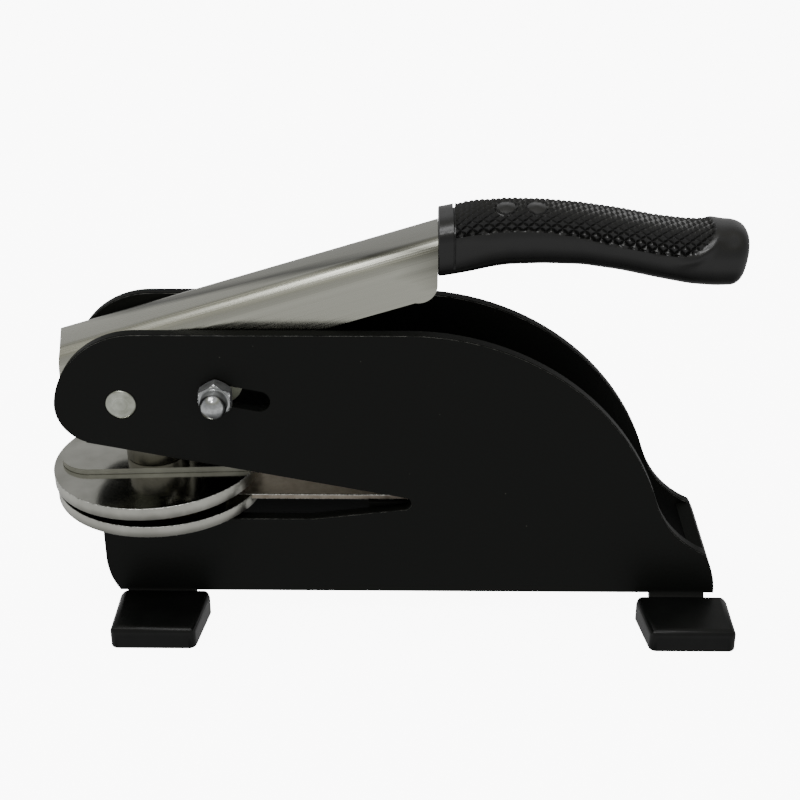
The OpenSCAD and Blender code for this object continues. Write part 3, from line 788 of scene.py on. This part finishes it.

# %% [markdown]
# ## Upper leaf
# The leaf is one springy strip with a round tip. In the press its front goes with the upper disc
# and its rear is screwed down, so the strip bends in between. Here it is drawn as cross strips on
# one straight slope, at the upper limit of the jaw hinge's range, and it rides on no body.

# %% Upper leaf
leaf_thickness = 1.78 * mm


def half_width_at(x, tip_x, half):
    """Half width of the strip at x: a half circle at the tip, straight after it."""
    if x >= tip_x + half:
        return half
    return math.sqrt(max(0.0, half ** 2 - (tip_x + half - x) ** 2))


def leaf_mesh():
    front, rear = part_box("upper_leaf"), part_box("leaf_root")
    half, tip_x, rear_x = front[1][1], front[0][0], rear[1][0]
    rise = math.radians(joints["jaw_hinge"]["range_deg"][1])
    thick = Vector((-math.sin(rise), 0, math.cos(rise))) * leaf_thickness
    tip = [tip_x + half * (1 - math.cos(t)) for t in np.linspace(0.06, math.pi / 2, 28)]
    bm = bmesh.new()
    strips = []
    for x in tip + list(np.linspace(tip_x + half, rear_x, 80))[1:]:
        side = Vector((0, half_width_at(x, tip_x, half), 0))
        base = Vector((x, 0, front[0][2] + (x - tip_x) * math.tan(rise)))
        corners = (base - side, base + side, base + side + thick, base - side + thick)
        strips.append([bm.verts.new(c) for c in corners])
    for one, two in zip(strips, strips[1:]):
        for j in range(4):
            k = (j + 1) % 4
            bm.faces.new((one[j], one[k], two[k], two[j]))
    bm.faces.new(strips[0])
    bm.faces.new(strips[-1])
    bmesh.ops.recalc_face_normals(bm, faces=bm.faces)
    sharp = math.radians(60)
    rims = [e for e in bm.edges if len(e.link_faces) == 2 and e.calc_face_angle() > sharp]
    bmesh.ops.bevel(bm, geom=rims, offset=0.2 * mm, segments=2, affect="EDGES")
    return close(bm, "leaf_strip", 40)


leaf = new_piece("leaf_strip", leaf_mesh(), "polished_plate")
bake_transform(leaf)
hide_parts("upper_leaf", "leaf_root")
print("leaf faces:", len(leaf.data.polygons))

# %% [markdown]
# ## Floor
# The press stands on plain white paper. The paper glows, so that it stays white behind the black
# press, and it neither lights the press nor shows in it: the room below does that.

# %% Floor
bpy.ops.mesh.primitive_plane_add(size=60, location=(0, 0, 0))
floor = bpy.context.object
floor.name = "floor"
paper = start("white_paper", Roughness=0.9, Base_Color=colour("#f6f6f5"),
              Emission_Color=colour("#ffffff"), Emission_Strength=9.0)[0]
floor.data.materials.append(paper)
floor.visible_glossy = False
floor.visible_diffuse = False
print("floor ready:", paper.name)

# %% [markdown]
# ## Light
# Polished metal shows its room, so the room's brightness changes with height, from straight down
# at 0 to straight up at 1. Behind the press it has a dim belt that the room in front lacks.

# %% Room
lower_room = [(0.0, grey(0.12)), (0.17, grey(0.4)), (0.25, grey(0.72)), (0.46, grey(0.78)),
              (0.56, grey(0.58))]
upper_room = [(0.88, (0.44, 0.43, 0.36, 1)), (0.95, grey(0.75)), (1.0, grey(0.45))]
belt_behind = [(0.73, grey(0.47)), (0.81, grey(0.28))]
belt_before = [(0.78, grey(0.48))]


def room():
    world = bpy.data.worlds.new("studio")
    bpy.context.scene.world = world
    world.use_nodes = True
    tree = world.node_tree
    way = add(tree, "SeparateXYZ", {0: add(tree, "TexCoord").outputs["Generated"]}).outputs
    height = spread(tree, way["Z"], -1.0, 1.0)
    behind = ramp(tree, height, lower_room + belt_behind + upper_room)
    before = ramp(tree, height, lower_room + belt_before + upper_room)
    side = spread(tree, way["Y"], -0.1, 0.2)
    both = add(tree, "Mix", {0: side, 6: before, 7: behind}, data_type="RGBA").outputs[2]
    tree.links.new(both, tree.nodes["Background"].inputs["Color"])
    return world


print("world:", room().name)

# %% [markdown]
# A broad soft lamp hangs above the dies, and a small one in front gives the nut and the grip
# their highlights. A lamp shines along its own -Z, so it is turned until that points at its aim.

# %% Lamps
def softbox(name, where, size, power, aim=(0, 0, 0.05)):
    lamp = bpy.data.lights.new(name, "AREA")
    lamp.shape = "SQUARE"
    lamp.size = size
    lamp.energy = power
    made = bpy.data.objects.new(name, lamp)
    made.location = where
    made.rotation_euler = (Vector(aim) - Vector(where)).to_track_quat("-Z", "Y").to_euler()
    bpy.context.scene.collection.objects.link(made)


softbox("overhead", (-0.28, 0.05, 1.1), 0.5, 4)
softbox("front", (-0.10, -0.40, 1.0), 0.12, 1.5)
